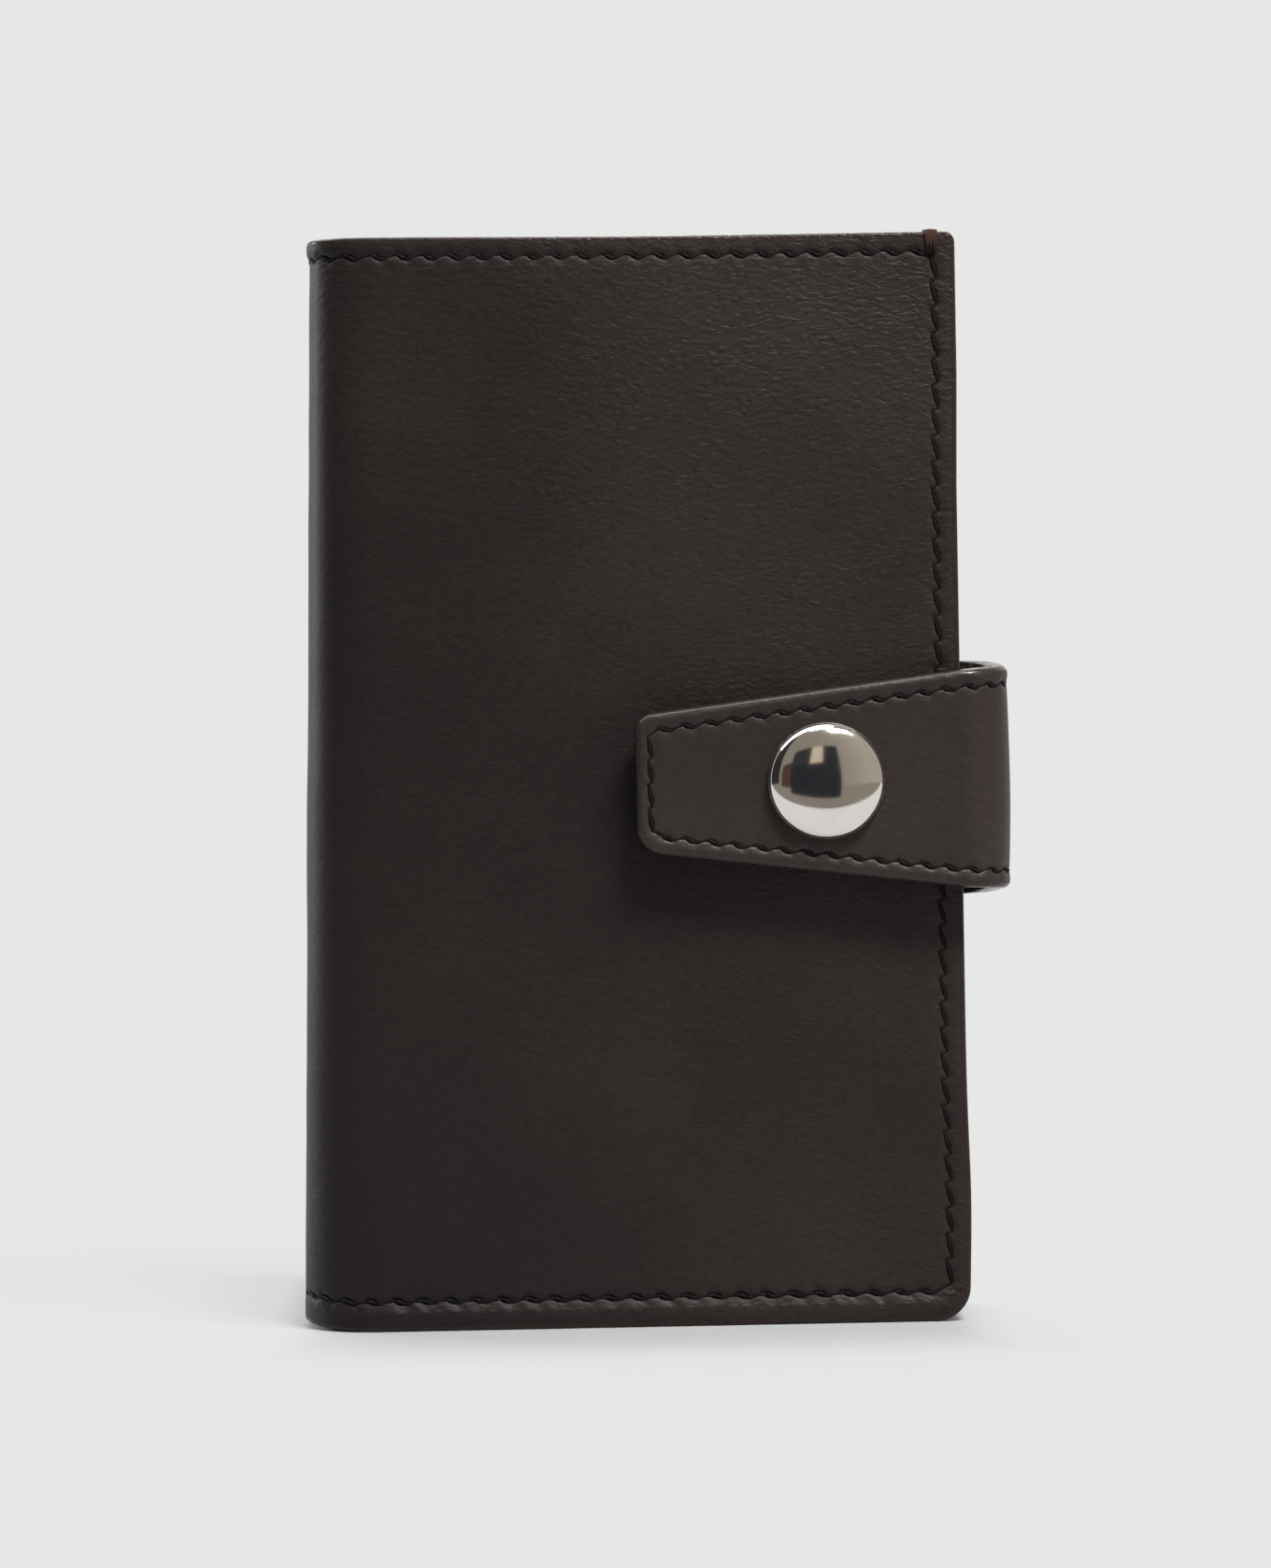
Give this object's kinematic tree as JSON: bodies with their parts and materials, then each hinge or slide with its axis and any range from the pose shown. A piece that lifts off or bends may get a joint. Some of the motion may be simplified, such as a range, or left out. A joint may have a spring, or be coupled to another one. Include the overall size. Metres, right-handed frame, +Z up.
{
  "type": "bifold wallet",
  "caption": "Upright leather bifold wallet, closed, with stepped card pockets inside and a tapered strap that wraps the free edge and snaps to the front.",
  "frame": {"origin": "under the middle of the closed wallet's whole box, strap and stud cap included, on the surface it stands on", "axes": "+Z up along the spine, +X from the spine to the free edge, -Y out of the front cover that carries the press stud"},
  "size_m": [0.0764, 0.0272, 0.1178],
  "materials": {
    "cover_leather": "very dark brown, fine pebble grain with soft creases, semi-matte",
    "strap_leather": "very dark brown, smoother fine grain, semi-matte",
    "lining_leather": "reddish brown, smooth, matte",
    "pocket_leather": "dark brown, thin, fine grain",
    "board": "bonded fibre board, matte",
    "black_thread": "thick waxed black thread",
    "brown_thread": "brown thread, close turns",
    "bright_metal": "polished nickel",
    "plain_metal": "plain plated metal"
  },
  "bodies": {
    "back_cover": {"back_outer_leather": "cover_leather", "back_stiffener": "board", "back_lining": "lining_leather", "back_slip_panel": "pocket_leather", "back_card_pocket_1": "pocket_leather", "back_card_pocket_2": "pocket_leather", "back_card_pocket_3": "pocket_leather", "back_lower_stitching": "black_thread", "back_upper_stitching": "black_thread", "back_bar_tack": "brown_thread", "strap_root_leather": "strap_leather", "strap_root_lining": "lining_leather", "strap_root_stitching": "black_thread"},
    "spine": {"spine_outer_leather": "cover_leather", "spine_reinforcement": "board", "spine_lining": "lining_leather", "spine_upper_stitching": "black_thread", "spine_lower_stitching": "black_thread"},
    "front_cover": {"front_outer_leather": "cover_leather", "front_stiffener": "board", "front_lining": "lining_leather", "front_slip_panel": "pocket_leather", "front_card_pocket_1": "pocket_leather", "front_card_pocket_2": "pocket_leather", "front_card_pocket_3": "pocket_leather", "front_stitching": "black_thread", "front_bar_tack": "brown_thread", "snap_stud": "plain_metal", "snap_stud_rivet": "plain_metal"},
    "strap_loop": {"strap_loop_leather": "strap_leather", "strap_loop_lining": "lining_leather", "strap_loop_upper_stitching": "black_thread", "strap_loop_lower_stitching": "black_thread"},
    "strap_flap": {"strap_flap_leather": "strap_leather", "strap_flap_lining": "lining_leather", "strap_flap_stitching": "black_thread", "snap_cap": "bright_metal", "snap_socket": "plain_metal"}
  },
  "joints": [
    {"name": "back_fold", "type": "hinge", "parent": "back_cover", "child": "spine", "pos_m": [-0.03504, 0.00806, 0.05865], "axis": [0, 0, -1], "range_deg": [0, 90]},
    {"name": "front_fold", "type": "hinge", "parent": "spine", "child": "front_cover", "pos_m": [-0.03504, -0.00431, 0.05865], "axis": [0, 0, -1], "range_deg": [0, 90]},
    {"name": "strap_swing", "type": "hinge", "parent": "back_cover", "child": "strap_loop", "pos_m": [0.03619, 0.01162, 0.0586], "axis": [0, 0, 1], "range_deg": [0, 90]},
    {"name": "snap_flap_lift", "type": "hinge", "parent": "strap_loop", "child": "strap_flap", "pos_m": [0.03619, -0.00967, 0.0586], "axis": [0, 0, 1], "range_deg": [0, 120]}
  ],
  "couplings": [
    {"joint": "front_fold", "follows": "back_fold", "ratio": 1}
  ]
}
